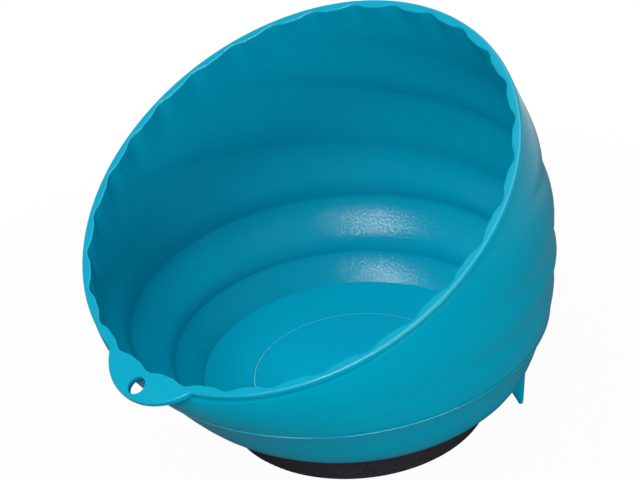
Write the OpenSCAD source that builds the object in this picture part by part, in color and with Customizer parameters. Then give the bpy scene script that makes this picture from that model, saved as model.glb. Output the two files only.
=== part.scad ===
// Magnetic parts tray: a deep plastic bowl with a slanted mouth and a hanging tab,
// bolted to a rubber-covered magnet foot. Origin: centre of the foot's lower face.
// +Z is up, the hanging tab is at -Y and the high side of the bowl at +Y.

/* [Mouth] */
// Radius of the rim's outer edge
mouth_r = 75; // [73:0.5:78]
// Tilt of the mouth, high at the back
mouth_tilt = 28; // [26:1:30]
// Height of the mouth's centre
mouth_z = 91; // [88:0.5:95]
// How far the mouth's centre stands in front of the foot's axis
mouth_shift = 18; // [15:0.5:20]
// Width of the rim's flat top between two flutes
rim_w = 3.3; // [3:0.1:4]
// Height of the rim's outer lip
lip_h = 2; // [1.5:0.1:2.5]
// How far the lip stands proud of the wall below it
lip_out = 0.6; // [0.4:0.1:1]
// Rounding of the lip's edges
lip_edge = 0.3; // [0.2:0.1:0.6]

/* [Flutes] */
// Number of flutes round the inside of the rim
flute_count = 30; // [24:1:32]
// Depth of a flute at the top of the rim
flute_depth = 1.3; // [0.8:0.1:2]
// How far down the wall the flutes run out
flute_run = 14; // [8:1:18]

/* [Wall] */
// Thickness of the moulded wall
wall_t = 2.6; // [2.2:0.1:3]
// Outer radius at the shoulder line, the sharp ring low on the wall
shoulder_r = 69.4; // [67:0.2:71]
// Height of the shoulder line
shoulder_z = 39.4; // [37:0.2:42]
// How far the shoulder line's centre stands in front of the foot's axis
shoulder_shift = 6.1; // [5:0.1:8]
// How far the back of the wall swells out between shoulder and rim
belly_back = 6.1; // [4:0.1:6.5]
// The same swell at the tab
belly_front = 0; // [-0.5:0.1:1]
// Depth of the outer creases at the back
crease_depth = 1.2; // [0.6:0.1:1.8]
// Height of the inner ridges that face them
ridge_h = 1.2; // [0.6:0.1:1.6]

/* [Floor] */
// Height of the flat floor
floor_z = 12.3; // [12:0.1:13]
// Radius of the flat middle of the floor
floor_flat_r = 40; // [38:0.5:43]
// How far the edge of the bowl's flat underside stays inside the foot's outside
under_step = 0.8; // [0.6:0.1:2]
// How far that underside is set back from the foot's axis
under_back = 1.9; // [1:0.1:2]

/* [Hanging tab] */
// Radius of the tab's round outline
tab_r = 22.5; // [20:0.5:24]
// How far the tab's tip stands out from the rim
tab_out = 8.1; // [8:0.1:11]
// Thickness of the tab
tab_t = 2; // [1.4:0.1:2]
// Step from the rim's top down to the tab's top
tab_step = 0.1; // [0.1:0.05:0.3]
// Radius of the hanging hole
tab_hole_r = 3; // [2.5:0.1:3.4]
// Distance from the tab's tip in to the middle of the hanging hole
tab_hole_inset = 4.6; // [4:0.1:4.7]

/* [Support pegs] */
// Angle from the tab round to each peg
peg_angle = 126; // [110:1:150]
// Distance from the foot's axis to the peg's tip
peg_reach = 54.8; // [53:0.2:56]
// Radius of the peg's rounded tip
peg_tip_r = 1; // [0.8:0.1:1.3]
// Width of the peg's root along the wall
peg_root_w = 4.6; // [3:0.2:6]
// Gap under the peg's tip when the foot stands flat
peg_gap = 0.3; // [0.1:0.1:0.6]

/* [Floor cover] */
// Radius of the disc that covers the fixing screw
cover_r = 34.2; // [33:0.1:35]
// Thickness of the cover disc
cover_t = 1; // [0.8:0.1:1.2]
// Thickness of the adhesive film under it
film_t = 0.2; // [0.1:0.05:0.3]
// How far the film stops short of the cover's edge
film_margin = 1; // [0.5:0.1:2]
// Radius of the hole in the film over the screw
film_hole_r = 7; // [6.5:0.1:9]

/* [Magnet foot] */
// Radius of the rubber boot
foot_r = 44; // [43.8:0.1:45]
// Height of the foot
foot_h = 8.5; // [8:0.1:8.8]
// Thickness of the rubber under the magnets
skin_t = 1; // [0.8:0.1:1.3]
// Thickness of the rubber round the yoke plate
boot_wall = 2.5; // [2:0.1:3]
// Width of the boot's lip above the yoke plate, from the boot's outside
boot_lip_w = 5.8; // [5:0.1:7]
// Rounding of the boot's outer edges
boot_edge = 0.8; // [0.5:0.1:1]
// Thickness of the steel yoke plate
yoke_t = 2.5; // [2.2:0.1:2.7]

/* [Magnets] */
// Number of magnet discs
magnet_count = 18; // [14:2:18]
// Gap between two neighbouring magnet discs
magnet_gap = 1.46; // [1:0.02:2.5]
// Thickness of a magnet disc
magnet_t = 3.5; // [3:0.1:3.7]
// Distance from the boot's outside in to the circle that the magnets stand on
magnet_inset = 11; // [10.5:0.1:12]

/* [Fixing screw and bush] */
// Radius of the screw's shank
screw_r = 3; // [2.5:0.1:3]
// Length of the screw, head included
screw_l = 8; // [7:0.5:8.5]
// Radius of the countersunk head
head_r = 6; // [5.5:0.1:6.3]
// Height of the head's straight edge
head_edge = 0.4; // [0.3:0.1:0.6]
// Distance across the flats of the hexagon socket
socket_w = 4; // [3:0.5:4]
// Depth of the hexagon socket
socket_h = 2; // [1.5:0.1:2.4]
// Radius of the bush's shank in the yoke plate
bush_r = 5; // [4.5:0.1:5.5]
// Radius of the bush's flange
bush_flange_r = 8; // [7:0.1:9]
// Thickness of the bush's flange
bush_flange_t = 2; // [1.5:0.1:2.2]

/* [Hidden] */
$fn = 96;

// Clearance round a part that drops into a round pocket
fit_gap = 0.1;
// Overrun of a cut past the face that it opens
cut = 1;
// Facets of the rounds that a blended peg is made from
peg_fn = 14;

// Creases of the wall, from the shoulder line up: height over the shoulder as shares of the
// wall's height at the back, and slope towards the back as shares of the way there
crease_height_shares = [0, 0.17, 0.35, 0.65, 0.91];
crease_slope_shares = [0, 0.05, -0.1, -0.18, -0.25];
// The inside has one ridge just over the shoulder line instead of the first crease
low_ridge_height_share = 0.062;
low_ridge_slope_share = 0.035;
// Places on the lower wall, as shares of its curve from the underside to the shoulder line
floor_edge_share = 0.34;
foot_ridge_share = 0.7;
// Room kept between two creases where they crowd under the rim
crowd_share = 0.04;
// Share of the wall's height over which a crease fades out below the rim
crease_fade_share = 0.12;
// Places of a lobe's points between its two creases, outside and, from the top down, inside
lobe_shares = [0.25, 0.5, 0.75];
ridge_lobe_shares = [0.8, 0.2, 0];
low_lobe_shares = [0.75, 0.25, 0];
floor_lobe_shares = [0.7, 0.3, 0];
// Rings of points on the outside of the lower wall
lower_count = 6;
// Half width of a flute, and the four points that draw each pitch, as shares of the pitch
flute_half_share = 0.34;
flute_point_shares = [0.12, 0.36, 0.64, 0.88];
// Handles of the lower wall's curve, as shares of its width and height, and their directions
under_handle_share = 0.6;
shoulder_handle_share = 0.56;
under_rise = 20;
shoulder_lean = 29;
// Where the peg's root meets the lower wall, as shares of its curve
peg_root_shares = [0.16, 0.37];

// Places that follow the rim and the foot
tab_reach = mouth_r + tab_out;
tab_hole_at = tab_reach - tab_hole_inset;
under_r = foot_r - under_step;
boot_mouth_r = foot_r - boot_lip_w;
magnet_ring_r = foot_r - magnet_inset;
magnet_r = magnet_ring_r * sin(180 / magnet_count) - magnet_gap / 2;

// Heights of the parts in the foot
magnet_z = skin_t;
yoke_z = magnet_z + magnet_t;
lip_z = yoke_z + yoke_t;
yoke_r = foot_r - boot_wall;
recess_z = floor_z - cover_t - film_t;
head_top_z = recess_z - fit_gap;
head_h = head_r - screw_r + head_edge;
back_h = mouth_z + mouth_r * sin(mouth_tilt) - shoulder_z;

function mix(a, b, t) = a + (b - a) * t;
function unit(t) = max(0, min(1, t));
// 0 at the tab, 1 at the back
function backness(a) = (1 - cos(a)) / 2;

// Lower wall: a cubic curve in radius and height from the underside to the shoulder line
under_end = [under_r, foot_h];
shoulder_end = [shoulder_r, shoulder_z];
under_handle = under_end + under_handle_share * (shoulder_z - foot_h) * [cos(under_rise), sin(under_rise)];
shoulder_handle = shoulder_end
    - shoulder_handle_share * (shoulder_z - foot_h) * [sin(shoulder_lean), cos(shoulder_lean)];
function lower_curve(t) =
    pow(1 - t, 3) * under_end + 3 * t * pow(1 - t, 2) * under_handle
    + 3 * t * t * (1 - t) * shoulder_handle + pow(t, 3) * shoulder_end;

// A point of the wall at angle a from the tab, inset from the unbroken outer surface.
// w runs from -1 at the underside through 0 at the shoulder line to 1 at the mouth.
function wall_point(w, a, inset) = w < 0 ? lower_point(w + 1, a, inset) : upper_point(w, a, inset);
function lower_point(t, a, inset) =
    let (p = lower_curve(t), y = mix(under_back, -shoulder_shift, (p.y - foot_h) / (shoulder_z - foot_h)))
    [(p.x - inset) * sin(a), y - (p.x - inset) * cos(a), p.y];
function upper_point(s, a, inset) =
    let (
        belly = mix(belly_front, belly_back, backness(a)),
        r = mix(shoulder_r, mouth_r - lip_out, s) + belly * 4 * s * (1 - s) - inset,
        tilt = mouth_tilt * s
    )
    [r * sin(a), -mix(shoulder_shift, mouth_shift, s) - r * cos(a) * cos(tilt),
     mix(shoulder_z, mouth_z, s) - r * cos(a) * sin(tilt)];
// A point of the rim at angle a, radius r and depth d below its top plane
function rim_point(r, a, d) =
    [r * sin(a), -mouth_shift - r * cos(a) * cos(mouth_tilt) + d * sin(mouth_tilt),
     mouth_z - r * cos(a) * sin(mouth_tilt) - d * cos(mouth_tilt)];

// Height and length of the wall at angle a, and where the lip's lower edge crosses it
function wall_h(a) = mouth_z - mouth_r * cos(a) * sin(mouth_tilt) - shoulder_z;
function front_y(a) = -shoulder_shift - shoulder_r * cos(a);
function lean_y(a) = -mouth_shift - mouth_r * cos(a) * cos(mouth_tilt) - front_y(a);
function lip_at(a) = 1 - lip_h / (wall_h(a) * cos(mouth_tilt));
// Where a level crease of a given height and slope crosses the wall at angle a
function crossing(height_share, slope_share, a) =
    (back_h * height_share + slope_share * front_y(a)) / (wall_h(a) - slope_share * lean_y(a));
function crease_at(k, a) =
    min(crossing(crease_height_shares[k], crease_slope_shares[k], a),
        lip_at(a) * (1 - crowd_share * (len(crease_height_shares) - k)));
function low_ridge_at(a) = crossing(low_ridge_height_share, low_ridge_slope_share, a);
// How strong crease k is at angle a: full at the back, gone at the tab and under the rim
function crease_gain(k, a) =
    k == 0 ? 0 : backness(a) * unit((lip_at(a) - crease_at(k, a)) / crease_fade_share);

// Depth of a flute at angle a, and how much of it is left at wall place w
function flute(a) =
    let (u = a * flute_count / 360, d = abs(u - round(u)) / flute_half_share)
    sqrt(max(0, 1 - d * d));
function flute_left(w, a) = pow(unit(1 - (1 - w) * wall_h(a) * cos(mouth_tilt) / flute_run), 1.5);
function inner_inset(w, a, ridge) =
    mix(wall_t, rim_w - lip_out - flute_depth * flute(a), flute_left(w, a)) + ridge;

// Rings of the shell: each is a function of the angle, listed from the underside, up the
// outside, over the rim, down the inside and onto the floor
angles = [for (k = [0:flute_count - 1]) for (share = flute_point_shares) (k + share) * 360 / flute_count];
last_crease = len(crease_height_shares) - 1;
function lobe_top(k, a) = k < last_crease ? crease_at(k + 1, a) : lip_at(a);
function lobe_gain(k, f, a) = f < 0.5 ? crease_gain(k, a) : k < last_crease ? crease_gain(k + 1, a) : 0;
function lobe_bend(f) = pow(2 * f - 1, 2);
outer_rings = concat(
    [for (i = [0:lower_count - 1]) [for (a = angles) lower_point(i / lower_count, a, 0)]],
    [for (k = [0:last_crease]) for (f = concat([0], lobe_shares))
        [for (a = angles) upper_point(mix(crease_at(k, a), lobe_top(k, a), f), a,
                                      crease_depth * lobe_bend(f) * lobe_gain(k, f, a))]],
    [[for (a = angles) upper_point(lip_at(a), a, 0)]]
);
rim_rings = [
    [for (a = angles) rim_point(mouth_r - lip_edge / 2, a, lip_h)],
    [for (a = angles) rim_point(mouth_r, a, lip_edge)],
    [for (a = angles) rim_point(mouth_r - lip_edge, a, 0)],
    [for (a = angles) rim_point(mouth_r - rim_w + flute_depth * flute(a), a, 0)]
];
function inner_ring(w_at, ridge_at) =
    [for (a = angles) let (w = w_at(a)) wall_point(w, a, inner_inset(w, a, ridge_at(a)))];
upper_lobes = [for (k = [last_crease:-1:2]) k];
inner_rings = concat(
    [for (k = upper_lobes) for (f = ridge_lobe_shares)
        inner_ring(function (a) mix(crease_at(k, a), k < last_crease ? crease_at(k + 1, a) : 1, f),
                   function (a) ridge_h * lobe_bend(f) * lobe_gain(k, f, a))],
    [for (f = ridge_lobe_shares)
        inner_ring(function (a) mix(low_ridge_at(a), crease_at(2, a), f),
                   function (a) ridge_h * lobe_bend(f) * (f < 0.5 ? 1 : crease_gain(2, a)))],
    [for (f = low_lobe_shares)
        inner_ring(function (a) mix(foot_ridge_share - 1, low_ridge_at(a), f),
                   function (a) ridge_h * lobe_bend(f))],
    [for (f = floor_lobe_shares)
        inner_ring(function (a) mix(floor_edge_share, foot_ridge_share, f) - 1,
                   function (a) f > 0.5 ? ridge_h * lobe_bend(f) : 0)],
    [[for (a = angles) [floor_flat_r * sin(a), -floor_flat_r * cos(a), floor_z]]]
);
shell_rings = concat(outer_rings, rim_rings, inner_rings);

module shell() {
    n = len(angles);
    m = len(shell_rings);
    points = concat([for (ring = shell_rings) each ring], [[0, under_back, foot_h], [0, 0, floor_z]]);
    sides = [for (j = [0:m - 2]) for (i = [0:n - 1])
        let (p = j * n + i, q = j * n + (i + 1) % n) each [[p, p + n, q + n], [p, q + n, q]]];
    under = [for (i = [0:n - 1]) [m * n, i, (i + 1) % n]];
    floor_cap = [for (i = [0:n - 1]) [m * n + 1, (m - 1) * n + (i + 1) % n, (m - 1) * n + i]];
    polyhedron(points, concat(sides, under, floor_cap));
}

module at_mouth() {
    translate([0, -mouth_shift, mouth_z]) rotate([mouth_tilt, 0, 0]) children();
}

// Rounded blade whose root is sunk in the lower wall and whose tip almost meets the table
module peg(angle) {
    root_r = wall_t / 3;
    half_angle = atan((peg_root_w / 2 - root_r) / peg_reach);
    hull() {
        translate([peg_reach * sin(angle), -peg_reach * cos(angle), peg_gap + peg_tip_r])
            sphere(peg_tip_r, $fn = peg_fn);
        for (share = peg_root_shares) for (side = [-1, 1])
            translate(lower_point(share, angle + side * half_angle, wall_t / 2)) sphere(root_r, $fn = peg_fn);
    }
}

module bowl() {
    color("darkcyan") difference() {
        union() {
            shell();
            at_mouth() translate([0, 0, -tab_step - tab_t]) linear_extrude(tab_t) difference() {
                translate([0, tab_r - tab_reach]) circle(tab_r);
                circle(mouth_r - rim_w + flute_depth + fit_gap);
            }
            translate([0, 0, lip_z]) cylinder(r = boot_mouth_r - fit_gap, h = (floor_z - lip_z) / 2);
            for (side = [-1, 1]) peg(side * peg_angle);
        }
        at_mouth() translate([0, -tab_hole_at, -tab_t - cut]) cylinder(r = tab_hole_r, h = tab_t + 2 * cut);
        translate([0, 0, recess_z]) cylinder(r = cover_r + fit_gap, h = cover_t + film_t + cut);
        translate([0, 0, lip_z - cut]) cylinder(r = screw_r + fit_gap, h = floor_z - lip_z);
        translate([0, 0, head_top_z - head_h])
            cylinder(r1 = screw_r + fit_gap, r2 = head_r + fit_gap, h = head_r - screw_r);
        translate([0, 0, head_top_z - head_edge]) cylinder(r = head_r + fit_gap, h = head_edge + cut);
    }
}

module floor_cover() {
    color("darkcyan") translate([0, 0, floor_z - cover_t]) cylinder(r = cover_r, h = cover_t);
}

module cover_adhesive() {
    color("lightgray") translate([0, 0, recess_z]) difference() {
        cylinder(r = cover_r - film_margin, h = film_t);
        translate([0, 0, -cut]) cylinder(r = film_hole_r, h = film_t + 2 * cut);
    }
}

module fixing_screw() {
    color("silver") difference() {
        union() {
            translate([0, 0, head_top_z - screw_l]) cylinder(r = screw_r, h = screw_l - head_edge);
            translate([0, 0, head_top_z - head_h]) cylinder(r1 = screw_r, r2 = head_r, h = head_r - screw_r);
            translate([0, 0, head_top_z - head_edge]) cylinder(r = head_r, h = head_edge);
        }
        translate([0, 0, head_top_z - socket_h])
            cylinder(r = socket_w / 2 / cos(180 / 6), h = socket_h + cut, $fn = 6);
    }
}

module threaded_bush() {
    color("gainsboro") difference() {
        union() {
            translate([0, 0, yoke_z]) cylinder(r = bush_r, h = yoke_t);
            translate([0, 0, yoke_z - bush_flange_t]) cylinder(r = bush_flange_r, h = bush_flange_t);
        }
        translate([0, 0, yoke_z - bush_flange_t - cut])
            cylinder(r = screw_r + fit_gap / 2, h = bush_flange_t + yoke_t + 2 * cut);
    }
}

module yoke_plate() {
    color("darkgray") translate([0, 0, yoke_z]) difference() {
        cylinder(r = yoke_r - fit_gap, h = yoke_t);
        translate([0, 0, -cut]) cylinder(r = bush_r + fit_gap / 2, h = yoke_t + 2 * cut);
    }
}

module rubber_boot() {
    color([0.14, 0.12, 0.13]) difference() {
        rotate_extrude() boot_section();
        translate([0, 0, yoke_z]) cylinder(r = yoke_r, h = yoke_t);
        translate([0, 0, yoke_z]) cylinder(r = boot_mouth_r, h = foot_h - yoke_z + cut);
        translate([0, 0, yoke_z - bush_flange_t])
            cylinder(r = bush_flange_r + fit_gap, h = bush_flange_t + yoke_t);
        translate([0, 0, skin_t]) cylinder(r = screw_r + fit_gap, h = yoke_z);
        for (i = [1:magnet_count]) rotate([0, 0, (i - 0.5) * 360 / magnet_count])
            translate([0, -magnet_ring_r, magnet_z]) cylinder(r = magnet_r + fit_gap, h = magnet_t + yoke_t);
    }
}

module boot_section() {
    square([foot_r - boot_edge, foot_h]);
    translate([0, boot_edge]) square([foot_r, foot_h - 2 * boot_edge]);
    for (z = [boot_edge, foot_h - boot_edge]) translate([foot_r - boot_edge, z]) circle(boot_edge);
}

module magnet(i) {
    color("silver") rotate([0, 0, (i - 0.5) * 360 / magnet_count])
        translate([0, -magnet_ring_r, magnet_z]) cylinder(r = magnet_r, h = magnet_t);
}

bowl();
floor_cover();
cover_adhesive();
fixing_screw();
threaded_bush();
yoke_plate();
rubber_boot();
for (i = [1:magnet_count]) magnet(i);
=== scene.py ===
import math

import bpy
import numpy as np
from mathutils import Matrix


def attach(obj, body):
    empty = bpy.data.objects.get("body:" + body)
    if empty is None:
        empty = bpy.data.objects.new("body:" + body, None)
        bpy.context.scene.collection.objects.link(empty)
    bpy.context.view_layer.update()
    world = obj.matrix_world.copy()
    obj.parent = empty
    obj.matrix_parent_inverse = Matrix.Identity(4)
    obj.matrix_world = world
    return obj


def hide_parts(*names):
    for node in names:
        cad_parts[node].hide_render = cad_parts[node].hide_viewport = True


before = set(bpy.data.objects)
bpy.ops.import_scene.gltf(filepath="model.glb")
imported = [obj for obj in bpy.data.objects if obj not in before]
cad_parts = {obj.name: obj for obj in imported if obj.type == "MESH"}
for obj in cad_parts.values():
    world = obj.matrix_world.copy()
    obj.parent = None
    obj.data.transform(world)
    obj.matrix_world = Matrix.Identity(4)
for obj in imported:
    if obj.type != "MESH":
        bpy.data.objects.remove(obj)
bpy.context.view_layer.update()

# Camera: a long lens to the right of the hanging tab that looks down into the bowl.
# Its place, turn, roll and lens were solved from the outlines of the rim and the foot.
cam_turn, cam_rise, cam_roll, cam_distance = 0.8642, 0.5384, -0.1067, 0.675174
focal_px, image_w_px, film_w_mm = 2000, 640, 36
aim_right_px, aim_down_px = 38.271, 159.113
cam_back = np.array([math.sin(cam_turn) * math.cos(cam_rise),
                     -math.cos(cam_turn) * math.cos(cam_rise),
                     math.sin(cam_rise)])
cam_level = np.array([math.cos(cam_turn), math.sin(cam_turn), 0.0])
cam_upright = np.cross(cam_level, -cam_back)
cam_right = math.cos(cam_roll) * cam_level + math.sin(cam_roll) * cam_upright
cam_up = math.cos(cam_roll) * cam_upright - math.sin(cam_roll) * cam_level
cam_place = cam_distance * (cam_back - cam_right * aim_right_px / focal_px
                            + cam_up * aim_down_px / focal_px)
camera = bpy.data.objects.new("camera", bpy.data.cameras.new("camera"))
bpy.context.scene.collection.objects.link(camera)
camera.data.sensor_width = film_w_mm
camera.data.lens = film_w_mm * focal_px / image_w_px
camera.data.clip_start, camera.data.clip_end = 0.01, 50
cam_ways = np.array([cam_right, cam_up, cam_back]).T
camera.matrix_world = Matrix([[*row, place] for row, place in zip(cam_ways, cam_place)]
                             + [[0, 0, 0, 1]])
bpy.context.scene.camera = camera


# Bowl: one injection-moulded piece of petrol-blue polypropylene. Its slanted mouth has a scalloped
# rim with a hanging tab, and its wall has soft creases outside, grooves inside, a fine bead at the
# shoulder and two pegs under the back. Sizes are in millimetres, turns start at the tab.
mouth_r, mouth_tilt, mouth_z, mouth_shift = 75.0, math.radians(28), 91.0, 18.0
rim_w, lip_h, lip_out = 3.3, 2.0, 0.6
flutes, flute_depth, flute_run, flute_half, flute_fade = 30, 1.3, 14.0, 0.36, 1.5
wall_t, shoulder_r, shoulder_z, shoulder_shift = 2.6, 69.4, 39.4, 6.1
under_r, under_back, under_pull, under_rise = 43.2, 1.9, 0.6, math.radians(20)
shoulder_pull, shoulder_lean, belly_back = 0.56, math.radians(29), 6.065
floor_z, floor_flat_r, foot_top_z = 12.3, 40.0, 8.5
tab_r, tab_reach, tab_hole_at, tab_hole_r = 22.5, 83.1, 78.5, 3.0

columns = flutes * 15
angle = np.arange(columns) * 2 * math.pi / columns
tab_centre = tab_reach - tab_r
tab_corner = math.acos((tab_centre ** 2 + mouth_r ** 2 - tab_r ** 2) / (2 * tab_centre * mouth_r))
corner_column = round(tab_corner * columns / (2 * math.pi))
angle[corner_column], angle[-corner_column] = tab_corner, 2 * math.pi - tab_corner
sin_a, cos_a = np.sin(angle), np.cos(angle)
backness = (1 - cos_a) / 2


def between(start, end, share):
    """Straight blend: start where share is 0, end where it is 1."""
    return start + (end - start) * share


def ring(radius, y, z):
    """Points at a radius round the upright axis, each at its own y offset and height."""
    return np.stack(np.broadcast_arrays(radius * sin_a, y - radius * cos_a, z + 0 * sin_a), -1)


def rim_ring(radius, depth):
    """Points of the tilted rim: at a radius from the mouth's axis, a depth below its top plane."""
    return np.stack(np.broadcast_arrays(
        radius * sin_a,
        -mouth_shift - radius * cos_a * math.cos(mouth_tilt) + depth * math.sin(mouth_tilt),
        mouth_z - radius * cos_a * math.sin(mouth_tilt) - depth * math.cos(mouth_tilt)), -1)


lower_points = np.array([[under_r, foot_top_z], [0, 0], [0, 0], [shoulder_r, shoulder_z]], float)
lower_points[1] = lower_points[0] + under_pull * (shoulder_z - foot_top_z) * np.array(
    [math.cos(under_rise), math.sin(under_rise)])
lower_points[2] = lower_points[3] - shoulder_pull * (shoulder_z - foot_top_z) * np.array(
    [math.sin(shoulder_lean), math.cos(shoulder_lean)])


def lower_wall(share, inset):
    """Cubic curve in radius and height from the underside to the shoulder, whose centre slides
    forward."""
    s = share
    r, z = ((1 - s) ** 3 * lower_points[0] + 3 * s * (1 - s) ** 2 * lower_points[1]
            + 3 * s * s * (1 - s) * lower_points[2] + s ** 3 * lower_points[3])
    risen = (z - foot_top_z) / (shoulder_z - foot_top_z)
    return ring(r - inset, between(under_back, -shoulder_shift, risen), z)


def upper_wall(share, inset):
    """Rings whose radius, tilt, height and centre all blend from the shoulder to the mouth, with a
    swell that grows from the tab to the back."""
    swell = belly_back * backness * 4 * share * (1 - share)
    r = between(shoulder_r, mouth_r - lip_out, share) + swell - inset
    tilt = mouth_tilt * share
    return np.stack(np.broadcast_arrays(
        r * sin_a, -between(shoulder_shift, mouth_shift, share) - r * cos_a * np.cos(tilt),
        between(shoulder_z, mouth_z, share) - r * cos_a * np.sin(tilt)), -1)


wall_h = mouth_z - mouth_r * cos_a * math.sin(mouth_tilt) - shoulder_z
back_h = mouth_z + mouth_r * math.sin(mouth_tilt) - shoulder_z
front_y = -shoulder_shift - shoulder_r * cos_a
lean_y = -mouth_shift - mouth_r * cos_a * math.cos(mouth_tilt) - front_y
wall_run = wall_h * math.cos(mouth_tilt)
tab_half = np.sqrt(np.maximum(tab_r ** 2 - (tab_centre * sin_a) ** 2, 0))
lip_r = np.maximum(mouth_r, tab_centre * cos_a + tab_half)
drop_run = 2
lip_drop = np.clip(1 - (lip_r - mouth_r) / drop_run, 0, 1)
lip_at = 1 - (lip_h + lip_drop) / wall_run


def crossing(height, slope):
    """Share of the wall at which a plane of this height and slope cuts it, at every angle."""
    return (back_h * height + slope * front_y) / (wall_h - slope * lean_y)


crease_heights, crease_slopes = [0, 0.17, 0.35, 0.65, 0.91], [0, 0.05, -0.1, -0.18, -0.25]
crease_depth, crease_fade, cap_low, cap_step = 1.2, 0.3, 0.8, 0.04
top_crease = len(crease_heights) - 1
crease_cap = [lip_at * (cap_low + cap_step * k) for k in range(top_crease + 1)]
crease_cross = [crossing(height, slope) for height, slope in zip(crease_heights, crease_slopes)]
crease_at = [np.minimum(at, cap) for at, cap in zip(crease_cross, crease_cap)]
crease_room = [np.clip((cap - at) / crease_fade, 0, 1) for at, cap in zip(crease_cross, crease_cap)]
crease_gain = [backness * room * room * (3 - 2 * room) * (k > 0)
               for k, room in enumerate(crease_room)]

ridge_h, groove_drop, ridge_strengths = 1.5, 0.03, (0, 0.8, 0.65, 0.55, 0.45)
groove_at = [np.minimum(crossing(height - groove_drop, slope), cap)
             for height, slope, cap in zip(crease_heights, crease_slopes, crease_cap)]
ridge_gain = [gain * strength for gain, strength in zip(crease_gain, ridge_strengths)]
low_groove_height, low_groove_slope = 0.026, 0.035
low_groove_at = crossing(low_groove_height, low_groove_slope)


def bend(share):
    """1 at both ends of a lobe and 0 in its middle: a parabola whose ends are rounded."""
    softness = 0.2
    u = 2 * min(share, 1 - share)
    u = (math.hypot(u, softness) - softness) / (math.hypot(1, softness) - softness)
    return (1 - u) ** 2


def crest(share):
    """Inner ridge above a groove: rises steeply from it, rounds over a third of the way up the
    lobe, and sinks on a cosine to the next groove."""
    rise_run, sink_from, sink_run = 0.36, 0.2, 0.72
    rise = 1 - (1 - min(share / rise_run, 1)) ** 2
    return rise * (0.5 + 0.5 * math.cos(math.pi * min(max(share - sink_from, 0) / sink_run, 1)))


def flute_inset(share):
    """Inset of the inner wall: its thickness, less a scallop that fades out down the wall."""
    off = np.abs((angle * flutes / (2 * math.pi) + 0.5) % 1 - 0.5) / flute_half
    scallop = 0.5 + 0.5 * np.cos(math.pi * np.minimum(off, 1))
    left = np.clip(1 - (1 - share) * wall_run / flute_run, 0, 1) ** flute_fade
    return between(wall_t, rim_w - lip_out - flute_depth * scallop, left)


def unit(vectors):
    """Each vector divided by its length."""
    return vectors / np.linalg.norm(vectors, axis=-1, keepdims=True)


def sweep(start, start_way, end, end_way, share):
    """Cubic from start to end that leaves and arrives along the two ways, as strongly as the chord
    is long."""
    reach = np.linalg.norm(end - start, axis=-1, keepdims=True)
    s = share
    return ((2 * s ** 3 - 3 * s ** 2 + 1) * start + (s ** 3 - 2 * s ** 2 + s) * reach * start_way
            + (3 * s ** 2 - 2 * s ** 3) * end + (s ** 3 - s ** 2) * reach * end_way)


# Underside, from the screw's bore to the edge that sits round the foot.
seat_z, seat_r, seat_middle_r, seat_edge, screw_bore_r = 7, 38.1, 20, 0.1, 3.1
under_rings = [ring(r, 0, z) for r, z in (
    (screw_bore_r, seat_z), (seat_middle_r, seat_z), (seat_r - seat_edge, seat_z),
    (seat_r, seat_z + seat_edge), (seat_r, foot_top_z))]

# Outside: the lower wall, the bead at the shoulder, and the creased upper wall.
bead_out, bead_run = 0.38, 0.2
lower_steps = [0, 0.006, 0.02, 0.05, 0.1, 0.16, 0.23, 0.31, 0.4, 0.49, 0.58, 0.67, 0.76, 0.82, 0.87,
               0.91, 0.95, 0.98]
outer_rings = [lower_wall(share, -bead_out * max(0, share / bead_run - (1 / bead_run - 1)) ** 2)
               for share in lower_steps]
bead_turns = np.radians([0, 25, 50, 70, 88])
outer_rings += [ring(shoulder_r + bead_out * math.cos(t), -shoulder_shift,
                     shoulder_z + bead_out * math.sin(t)) for t in bead_turns]
lobe_steps = [0, 0.025, 0.06, 0.12, 0.22, 0.36, 0.5, 0.64, 0.78, 0.88, 0.94, 0.975]
for k in range(top_crease + 1):
    top, top_gain = (crease_at[k + 1], crease_gain[k + 1]) if k < top_crease else (lip_at, 0)
    for share in lobe_steps if k else lobe_steps[2:]:
        gain = crease_gain[k] if share < 0.5 else top_gain
        at = between(crease_at[k], top, share)
        outer_rings.append(upper_wall(at, crease_depth * bend(share) * gain))
outer_rings.append(upper_wall(lip_at, 0))

# Rim: its underside, its rounded outer edge, its flat face and its scalloped inner edge.
under_round, top_round, mouth_round = 0.3, 0.65, 0.5
rim_side_depth, top_margin, mouth_margin = 1.3, 0.2, 0.15
wall_top_r = mouth_r - lip_out
rim_in = wall_top_r - flute_inset(1.0)
rim_rings = [rim_ring(between(wall_top_r, lip_r - under_round, share),
                      lip_h + lip_drop * (1 - share) ** 2) for share in (0.3, 0.7)]
rim_rings += [rim_ring(lip_r - under_round + under_round * math.sin(t),
                       lip_h - under_round + under_round * math.cos(t))
              for t in np.radians([0, 30, 60, 90])]
rim_rings += [rim_ring(lip_r, rim_side_depth)]
rim_rings += [rim_ring(lip_r - top_round + top_round * math.cos(t),
                       top_round - top_round * math.sin(t))
              for t in np.radians([0, 22, 45, 68, 90])]
rim_rings += [rim_ring(lip_r - top_round - top_margin, 0)]
rim_rings += [rim_ring(between(lip_r - top_round, rim_in + mouth_round, share), 0)
              for share in (0.35, 0.7)]
rim_rings += [rim_ring(rim_in + mouth_round + mouth_margin, 0), rim_ring(rim_in + mouth_round, 0)]
for t in np.radians([22, 45, 68]):
    down, back = mouth_round * (1 - math.cos(t)), mouth_round * (1 - math.sin(t))
    rim_rings.append(upper_wall(1 - down / wall_run, flute_inset(1 - down / wall_run) - back))

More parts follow.
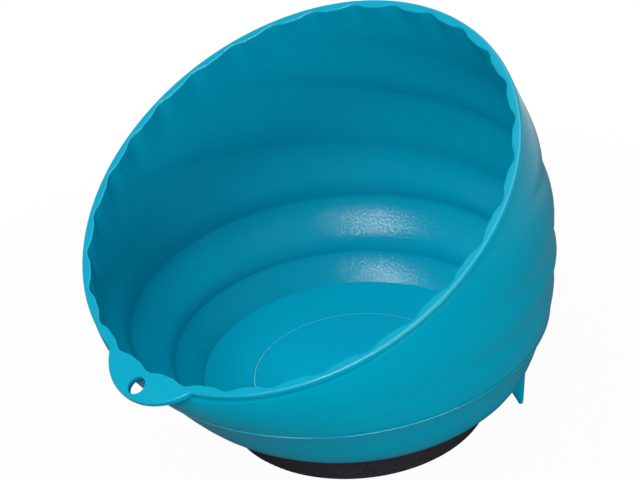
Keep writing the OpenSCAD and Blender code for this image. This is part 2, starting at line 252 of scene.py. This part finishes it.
# Inside: ridges and grooves from the mouth to the foot of the wall, the floor, and the recess for
# the cover with the screw's seat and bore.
crest_steps = [0.92, 0.82, 0.71, 0.6, 0.5, 0.41, 0.33, 0.26, 0.19, 0.12, 0.06, 0.02, 0]
inner_rings = []
wall_top = 1 - mouth_round / wall_run
for k in (top_crease, 3, 2):
    top = groove_at[k + 1] if k < top_crease else wall_top
    for share in [1.0] * (k == top_crease) + crest_steps:
        at = between(groove_at[k], top, share)
        inner_rings.append(upper_wall(at, flute_inset(at) + ridge_h * crest(share) * ridge_gain[k]))
for share in crest_steps:
    at = between(low_groove_at, groove_at[2], share)
    inner_rings.append(upper_wall(at, flute_inset(at) + ridge_h * crest(share)))
inward = np.stack([-sin_a, cos_a, 0 * sin_a], -1)
nudge, foot_groove_share, foot_groove_in = 0.01, 0.62, 2.0
foot_groove = lower_wall(foot_groove_share, wall_t + foot_groove_in)
foot_groove_way = unit(lower_wall(foot_groove_share + nudge, wall_t + foot_groove_in)
                       - foot_groove)
low_groove = upper_wall(low_groove_at, flute_inset(low_groove_at))
past_groove_at = low_groove_at + nudge
low_groove_way = unit(upper_wall(past_groove_at, flute_inset(past_groove_at)) - low_groove)
corner_r, corner_z, corner_rise, floor_dish = 50.4, 14.8, math.radians(58), 1.3
corner = ring(corner_r, 0, corner_z)
corner_way = unit(np.array([0, 0, math.tan(corner_rise)]) - inward)
for share in crest_steps:
    inner_rings.append(sweep(foot_groove, foot_groove_way, low_groove, low_groove_way, share)
                       + inward * ridge_h * crest(share))
for share in (0.94, 0.85, 0.73, 0.6, 0.48, 0.36, 0.25, 0.15, 0.08, 0.03, 0):
    inner_rings.append(sweep(corner, corner_way, foot_groove, foot_groove_way, share))
floor_start = len(inner_rings)
for share in (0.95, 0.75, 0.5, 0.28, 0.1, 0):
    inner_rings.append(ring(between(floor_flat_r, corner_r, share), 0,
                            between(floor_z, corner_z, share ** floor_dish)))
recess_r, recess_z, recess_margin = 34.3, 11.1, 0.3
recess_edge, recess_bevel, recess_fillet = 0.1, 0.03, 0.05
head_bore_r, head_seat_z, screw_bore_z = 6.1, 10.6, 7.6
inner_rings += [ring(r, 0, z) for r, z in (
    (recess_r + recess_margin, floor_z), (recess_r + recess_edge, floor_z),
    (recess_r + recess_bevel, floor_z - recess_bevel), (recess_r, floor_z - recess_edge),
    (recess_r, recess_z + recess_fillet), (recess_r - recess_fillet, recess_z),
    (head_bore_r + recess_edge, recess_z), (head_bore_r, recess_z - recess_edge),
    (head_bore_r, head_seat_z), (screw_bore_r, screw_bore_z))]


def grid_faces(rows, across, round_rows):
    """Quads of a grid that closes across its columns, and in its rows too where round_rows is
    set."""
    last = rows if round_rows else rows - 1
    row, col = np.meshgrid(np.arange(last), np.arange(across), indexing="ij")
    above, beside = (row + 1) % rows, (col + 1) % across
    return np.stack([row * across + col, row * across + beside, above * across + beside,
                     above * across + col], -1).reshape(-1, 4)


def closed_tube(rings):
    """Rings of points as one closed form: each end is drawn in to a pole at its own middle."""
    rings = np.asarray(rings)
    rows, across = rings.shape[:2]
    points = np.concatenate([rings.reshape(-1, 3), [rings[0].mean(0), rings[-1].mean(0)]])
    start, beside = np.arange(across), (np.arange(across) + 1) % across
    low = np.stack([np.full(across, rows * across), beside, start], -1)
    high = np.stack([np.full(across, rows * across + 1), start + (rows - 1) * across,
                     beside + (rows - 1) * across], -1)
    return points, grid_faces(rows, across, False).tolist() + low.tolist() + high.tolist()


def piece(name, points, faces):
    """A smooth-shaded object made from points in millimetres and faces that point outwards."""
    mesh = bpy.data.meshes.new(name)
    mesh.from_pydata((np.asarray(points).reshape(-1, 3) / 1000).tolist(), [],
                     faces if isinstance(faces, list) else faces.tolist())
    mesh.polygons.foreach_set("use_smooth", np.ones(len(mesh.polygons), bool))
    mesh.update()
    made = bpy.data.objects.new(name, mesh)
    bpy.context.scene.collection.objects.link(made)
    return made


bowl_rings = np.array(under_rings + outer_rings + rim_rings + inner_rings)
bowl = piece("moulded_bowl", bowl_rings, grid_faces(len(bowl_rings), columns, True))

# The finish that starts at each row of faces, counted in the order of the rings.
outside, satin, eroded = 0, 1, 2
rim_side_rows = 9
row_starts = {len(under_rings) + len(lower_steps) - 1: satin,
              len(under_rings) + len(lower_steps) + len(bead_turns): outside,
              len(under_rings) + len(outer_rings) - 1 + rim_side_rows: satin,
              len(bowl_rings) - len(inner_rings) - 1: eroded,
              len(bowl_rings) - len(inner_rings) + floor_start - 1: outside}
row_finish = np.full(len(bowl_rings), outside)
for start, look in row_starts.items():
    row_finish[start:] = look
bowl.data.polygons.foreach_set("material_index", np.repeat(row_finish, columns))


def peg_form(turn):
    """Blade that runs from its root in the wall to a rounded tip: a squarish oval section whose
    inner edge is straight and whose outer edge bows out a little."""
    root_in, tip_in = np.array([[48.7, 12.0], [54.0, 1.35]])
    root_out, bow_out, tip_out = np.array([[57.2, 18.2], [56.6, 8.5], [55.75, 1.35]])
    root_half_w, tip_half_w, taper, squareness, tip_drop = 2.3, 0.95, 0.8, 0.75, 1.0
    rows, across = np.linspace(0, 1, 15), np.linspace(0, 2 * math.pi, 32, endpoint=False)
    s = rows[:, None]
    inner = between(root_in, tip_in, s)
    outer = (1 - s) ** 2 * root_out + 2 * s * (1 - s) * bow_out + s ** 2 * tip_out
    half_w = between(root_half_w, tip_half_w, rows ** taper)
    tip = np.radians([20, 40, 58, 74])
    tip_middle, tip_half = (tip_out + tip_in) / 2, (tip_out - tip_in) / 2
    tip_down = np.array([0, tip_drop]) * np.sin(tip)[:, None]
    inner = np.concatenate([inner, tip_middle - tip_half * np.cos(tip)[:, None] - tip_down])
    outer = np.concatenate([outer, tip_middle + tip_half * np.cos(tip)[:, None] - tip_down])
    half_w = np.concatenate([half_w, tip_half_w * np.cos(tip)])
    side = np.sign(np.sin(across)) * np.abs(np.sin(across)) ** squareness
    along = np.sign(np.cos(across)) * np.abs(np.cos(across)) ** squareness
    middle, half = (inner + outer) / 2, (outer - inner) / 2
    r = middle[:, :1] + half[:, :1] * along
    z = middle[:, 1:] + half[:, 1:] * along
    w = half_w[:, None] * side
    return np.stack([r * math.sin(turn) + w * math.cos(turn),
                     -r * math.cos(turn) + w * math.sin(turn), z], -1)


def hole_form():
    """Round punch for the hanging hole, square to the rim, flared where it leaves either face."""
    flare, overrun, straight = 0.06, 1.5, 0.02
    steps = [(-overrun, flare), (-straight, flare)]
    steps += [(flare * (1 - math.cos(t)), flare * (1 - math.sin(t)))
              for t in np.radians([25, 50, 75])]
    steps += [(lip_h - depth, wide) for depth, wide in steps[::-1]]
    turn = np.linspace(0, 2 * math.pi, 64, endpoint=False)
    rows = []
    for depth, wide in steps:
        r = tab_hole_r + wide
        x, out = r * np.sin(turn), tab_hole_at + r * np.cos(turn)
        rows.append(np.stack([
            x, -mouth_shift - out * math.cos(mouth_tilt) + depth * math.sin(mouth_tilt),
            mouth_z - out * math.sin(mouth_tilt) - depth * math.cos(mouth_tilt)], -1))
    return np.array(rows)


def facing_out(points, faces):
    """The same form with every face turned over where its signed volume is negative."""
    p = np.asarray(points)
    tri = np.array([f[:3] for f in faces])
    volume = np.einsum("ij,ij->i", p[tri[:, 0]], np.cross(p[tri[:, 1]], p[tri[:, 2]])).sum()
    return points, [f[::-1] for f in faces] if volume < 0 else faces


def combine(base, tool, operation):
    """Joins the tool to the base or cuts it away, and drops the tool."""
    step = base.modifiers.new(operation.lower(), "BOOLEAN")
    step.object, step.operation, step.solver = tool, operation, "EXACT"
    bpy.context.view_layer.update()
    joined = base.evaluated_get(bpy.context.evaluated_depsgraph_get())
    result = bpy.data.meshes.new_from_object(joined)
    base.modifiers.clear()
    base.data = result
    bpy.data.objects.remove(tool)


peg_turn, sharp_over = math.radians(126), math.radians(38)
for turn in (peg_turn, -peg_turn):
    combine(bowl, piece("peg", *facing_out(*closed_tube(peg_form(turn)))), "UNION")
combine(bowl, piece("punch", *facing_out(*closed_tube(hole_form()))), "DIFFERENCE")
bowl.data.set_sharp_from_angle(angle=sharp_over)


class Value:
    """A node's output socket whose sums and products add Math nodes."""

    def __init__(self, finish, socket):
        self.finish, self.socket = finish, socket

    def math(self, operation, *terms):
        return self.finish.node("Math", {"operation": operation}, dict(enumerate(terms)))

    def __add__(self, other):
        return self.math("ADD", self, other)

    def __sub__(self, other):
        return self.math("SUBTRACT", self, other)

    def __rsub__(self, other):
        return self.math("SUBTRACT", other, self)

    def __mul__(self, other):
        return self.math("MULTIPLY", self, other)

    __radd__, __rmul__ = __add__, __mul__


class Finish:
    """A procedural material. node() adds any node, surface() sets the shader's own sockets."""

    def __init__(self, name, **sockets):
        self.material = bpy.data.materials.new(name)
        self.material.use_nodes = True
        self.tree = self.material.node_tree
        self.shader = self.tree.nodes["Principled BSDF"]
        self.place = self.node("TexCoord", out="Object")
        self.surface(**sockets)

    def node(self, kind, settings=None, sockets=None, out=0):
        made = self.tree.nodes.new("ShaderNode" + kind)
        for key, value in (settings or {}).items():
            setattr(made, key, value)
        for key, value in (sockets or {}).items():
            self.put(made.inputs[key], value)
        return Value(self, made.outputs[out])

    def put(self, socket, value):
        if isinstance(value, Value):
            self.tree.links.new(value.socket, socket)
        else:
            socket.default_value = value

    def surface(self, **sockets):
        for key, value in sockets.items():
            self.put(self.shader.inputs[key.replace("_", " ")], value)

    def noise(self, scale, detail, roughness=0.5):
        return self.node("TexNoise", None, {"Vector": self.place, "Scale": scale, "Detail": detail,
                                            "Roughness": roughness})

    def mixed(self, share, low, high):
        return self.node("Mix", {"data_type": "RGBA"}, {0: share, 6: low, 7: high}, out=2)

    def bump(self, height, distance):
        return self.node("Bump", None, {"Strength": 1.0, "Distance": distance, "Height": height})


def colour(red, green, blue):
    """Display values from 0 to 255 as the linear colour that a shader takes."""
    return tuple(v / 255 / 12.92 if v / 255 < 0.04045 else ((v / 255 + 0.055) / 1.055) ** 2.4
                 for v in (red, green, blue)) + (1.0,)


petrol_dark, petrol_light = colour(0, 146, 174), colour(0, 155, 184)


def moulded(name, grain_scale, grain_depth, gloss, gloss_spread, shine, tint):
    """Polypropylene: a little cloudy in colour, with the mould's grain in its roughness and bump.
    The grain's scale is per metre and its depth in metres; gloss is the middle roughness."""
    cloud_gloss, ripple_share = 0.06, 1.5
    finish = Finish(name, IOR=1.46, Specular_IOR_Level=shine, Specular_Tint=tint)
    cloud = finish.noise(28, 3)
    grain = finish.noise(grain_scale, 2, 0.6)
    ripple = finish.noise(60, 1)
    finish.surface(
        Base_Color=finish.mixed(cloud, petrol_dark, petrol_light),
        Roughness=gloss + (grain - 0.5) * gloss_spread + (cloud - 0.5) * cloud_gloss,
        Normal=finish.bump(grain + ripple * ripple_share, grain_depth))
    return finish.material


white_sheen, petrol_sheen, pale_sheen = (1, 1, 1, 1), (0.25, 0.85, 1, 1), (0.6, 0.9, 1, 1)
for finish in (moulded("moulded_outside", 1700, 0.000004, 0.17, 0.06, 0.05, petrol_sheen),
               moulded("satin_rim", 2200, 0.000006, 0.16, 0.06, 0.45, white_sheen),
               moulded("eroded_inside", 1500, 0.00015, 0.1, 0.08, 0.55, white_sheen)):
    bowl.data.materials.append(finish)
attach(bowl, "root")
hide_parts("bowl")


# Floor cover: a thin plastic disc pressed into the bowl's floor over the fixing screw. Its broken
# edge carries a pale colour, a painted highlight that shows as a fine ring, and its face is bare.
cover_r, cover_low, cover_high, cover_edge, cover_inner_rs = 34.2, 11.3, 12.3, 0.3, (24, 12, 1)
cover_turns = np.linspace(0, 2 * math.pi, 240, endpoint=False)


def turned(profile):
    """A profile of radius and height carried round the upright axis."""
    return np.array([np.stack([r * np.sin(cover_turns), -r * np.cos(cover_turns),
                               z + 0 * cover_turns], -1) for r, z in profile])


cover_profile = [(cover_inner_rs[-1], cover_low), (cover_r - cover_edge, cover_low),
                 (cover_r, cover_low + cover_edge), (cover_r, cover_high - cover_edge)]
cover_profile += [(cover_r - cover_edge * (1 - math.cos(t)),
                   cover_high - cover_edge * (1 - math.sin(t))) for t in np.radians([30, 60, 90])]
cover_profile += [(r, cover_high) for r in (cover_r - cover_edge - 0.1, *cover_inner_rs)]
cover = piece("cover_disc", *facing_out(*closed_tube(turned(cover_profile))))
cover.data.materials.append(moulded("moulded_cover", 2600, 0.000014, 0.36, 0.12, 0.1, pale_sheen))
# Painted highlight: a pale, spotted petrol colour for the top of the cover's rounded edge.
edge_highlight = Finish("painted_edge_highlight", Specular_IOR_Level=0.4)
highlight_spots = edge_highlight.noise(900, 2)
edge_highlight.surface(Base_Color=edge_highlight.mixed(highlight_spots, colour(70, 176, 202), colour(120, 202, 220)),
             Roughness=0.25 + highlight_spots * 0.15, Normal=edge_highlight.bump(highlight_spots, 0.00001))
cover.data.materials.append(edge_highlight.material)
# Faces on the top rounding of the edge take the painted highlight.
highlight_r, highlight_z = (cover_r - 1.5 * cover_edge) / 1000, (cover_high - cover_edge) / 1000
cover.data.polygons.foreach_set("material_index", [
    int(math.hypot(face.center.x, face.center.y) > highlight_r and face.center.z > highlight_z)
    for face in cover.data.polygons])
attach(cover, "root")
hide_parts("floor_cover")


# Adhesive film: a die-cut ring of clear double-sided tape that holds the cover down.
# It is hidden between the cover and the floor of its recess.
film = Finish("adhesive_film", Specular_IOR_Level=0.4)
film_cloud = film.noise(300, 4)
film.surface(Base_Color=film.mixed(film_cloud, colour(214, 208, 190), colour(232, 228, 214)),
             Roughness=0.35 + film_cloud * 0.2, Normal=film.bump(film_cloud, 0.00002))


# Foot: a boot of black rubber vulcanised over the magnets and the yoke plate.
# Its skin is matt, with a fine grain that speckles it from near black to a purplish grey.
rubber = Finish("black_rubber", Specular_IOR_Level=0.3)
rubber_grain = rubber.noise(1500, 3, 0.7)
rubber_cloud = rubber.noise(90, 2)
speck_gain, speck_cut = 2.4, 0.8
rubber_specks = rubber_grain * speck_gain - speck_cut
rubber.surface(Base_Color=rubber.mixed(rubber_specks, colour(6, 9, 14), colour(48, 42, 52)),
               Roughness=0.55 + rubber_grain * 0.3,
               Normal=rubber.bump(rubber_grain + rubber_cloud, 0.0005))


# Steel and magnets: a zinc-plated countersunk screw, a turned steel bush, a stamped yoke plate
# and eighteen nickel-plated magnet discs. All are hidden in the foot.
def metal(name, low, high, gloss, brush):
    """Plated or bare steel: a metal whose tint and gloss drift, with fine tool marks along Z."""
    brush_up, mark_scale, mark_gloss, mark_depth = 60, 12.0, 0.2, 0.00001
    finish = Finish(name, Metallic=1.0)
    drawn = finish.node("Mapping", None, {"Vector": finish.place,
                                          "Scale": (brush, brush, brush_up)})
    marks = finish.node("TexNoise", None, {"Vector": drawn, "Scale": mark_scale, "Detail": 3.0})
    stain = finish.noise(160, 3)
    finish.surface(Base_Color=finish.mixed(stain, low, high),
                   Roughness=gloss + (marks - 0.5) * mark_gloss,
                   Normal=finish.bump(marks, mark_depth))
    return finish.material


zinc_plated = metal("zinc_plated_steel", colour(176, 182, 190), colour(206, 208, 206), 0.32, 400)
turned_steel = metal("turned_steel", colour(150, 152, 156), colour(182, 182, 184), 0.36, 90)
rolled_steel = metal("rolled_steel", colour(110, 112, 116), colour(142, 142, 144), 0.45, 30)
magnet_plating = metal("magnet_plating", colour(196, 194, 188), colour(222, 220, 214), 0.22, 200)
hidden_finishes = {"cover_adhesive": film.material, "rubber_boot": rubber.material,
                   "fixing_screw": zinc_plated, "threaded_bush": turned_steel,
                   "yoke_plate": rolled_steel}
for name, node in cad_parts.items():
    material = magnet_plating if name.startswith("magnet_") else hidden_finishes.get(name)
    if material:
        for place in node.material_slots:
            place.material = material


# Floor: a plain pale sheet that the tray stands on. The camera sees it nearly white, with the
# tray's faint shadow. The tray mirrors it white farther off and dark close by, where its dark grey
# paper, with its real shadow, is painted shade round the tray.
sheet = 9000
floor = piece("studio_floor", [[-sheet, -sheet, 0], [sheet, -sheet, 0], [sheet, sheet, 0],
                               [-sheet, sheet, 0]], [[0, 1, 2, 3]])
# Its dark grey is painted shade: the camera sees the paper white, and only the tray's gloss sees it
# dark.
paper = Finish("studio_paper", Base_Color=(0.17, 0.17, 0.17, 1), Roughness=0.9,
               Specular_IOR_Level=0.1)
rays = paper.node("LightPath", out="Is Camera Ray")
seen = rays.socket.node.outputs
away = paper.node("VectorMath", {"operation": "LENGTH"}, {0: paper.place}, out="Value")


def whitening(start, end, at_start):
    """Share of white that grows smoothly to 1 between two distances from the tray's middle."""
    return paper.node("MapRange", {"interpolation_type": "SMOOTHSTEP"}, {
        "Value": away, "From Min": start, "From Max": end, "To Min": at_start, "To Max": 1.0})


# Close to the tray the gloss gets no white and sees the dark paper, a painted shade round the tray.
seen_white, mirror_white_past_painted_shade = whitening(0.08, 0.26, 0.97), whitening(0.19, 0.31, 0.0)
mirrored = Value(paper, seen["Is Glossy Ray"]) + Value(paper, seen["Is Transmission Ray"])
seen_share = rays * seen_white + mirrored * mirror_white_past_painted_shade
glow = paper.node("Emission", None, {"Color": (1, 1, 1, 1), "Strength": 1.0})
lit = Value(paper, paper.shader.outputs[0])
blend = paper.node("MixShader", None, {0: seen_share, 1: lit, 2: glow})
paper.put(paper.tree.nodes["Material Output"].inputs["Surface"], blend)
floor.data.materials.append(paper.material)


# Light: a dim room, a wide soft box overhead that the rim mirrors, a key box in front, a narrow
# lamp that glints on the inside of the wall, a low strip to the right and a soft fill behind.
bpy.context.scene.view_settings.view_transform = "Standard"
world = bpy.data.worlds.new("studio_room")
bpy.context.scene.world = world
world.use_nodes = True
room = world.node_tree.nodes["Background"].inputs
room["Color"].default_value, room["Strength"].default_value = (1, 1, 1, 1), 0.15
bowl_middle = np.array([0, -0.015, 0.06])


def soft_box(name, turn, rise, distance, width, height, power):
    """A flat soft light that faces the bowl from a turn, counted from the tab towards +X, and a
    rise, both in degrees. Its size and distance are in metres."""
    lamp = bpy.data.lights.new(name, "AREA")
    lamp.shape, lamp.size, lamp.size_y, lamp.energy = "RECTANGLE", width, height, power
    stand = bpy.data.objects.new(name, lamp)
    bpy.context.scene.collection.objects.link(stand)
    turn, rise = math.radians(turn), math.radians(rise)
    out = np.array([math.sin(turn) * math.cos(rise),
                    -math.cos(turn) * math.cos(rise),
                    math.sin(rise)])
    side = unit(np.cross([0, 0, 1], out))
    spot = out * distance + bowl_middle
    ways = np.array([side, np.cross(out, side), out]).T
    stand.matrix_world = Matrix([[*row, place] for row, place in zip(ways, spot)] + [[0, 0, 0, 1]])


soft_box("overhead_box", -75, 84, 1.3, 1.2, 1.2, 10.6)
soft_box("key_box", -8, 55, 1.4, 0.9, 0.9, 8)
soft_box("glint_lamp", 18, 34, 1.2, 0.52, 0.17, 5.2)
soft_box("right_strip", 78, -0.3, 1.3, 1.4, 0.09, 12)
soft_box("back_fill", 215, 25, 1.6, 1.4, 1.0, 5)
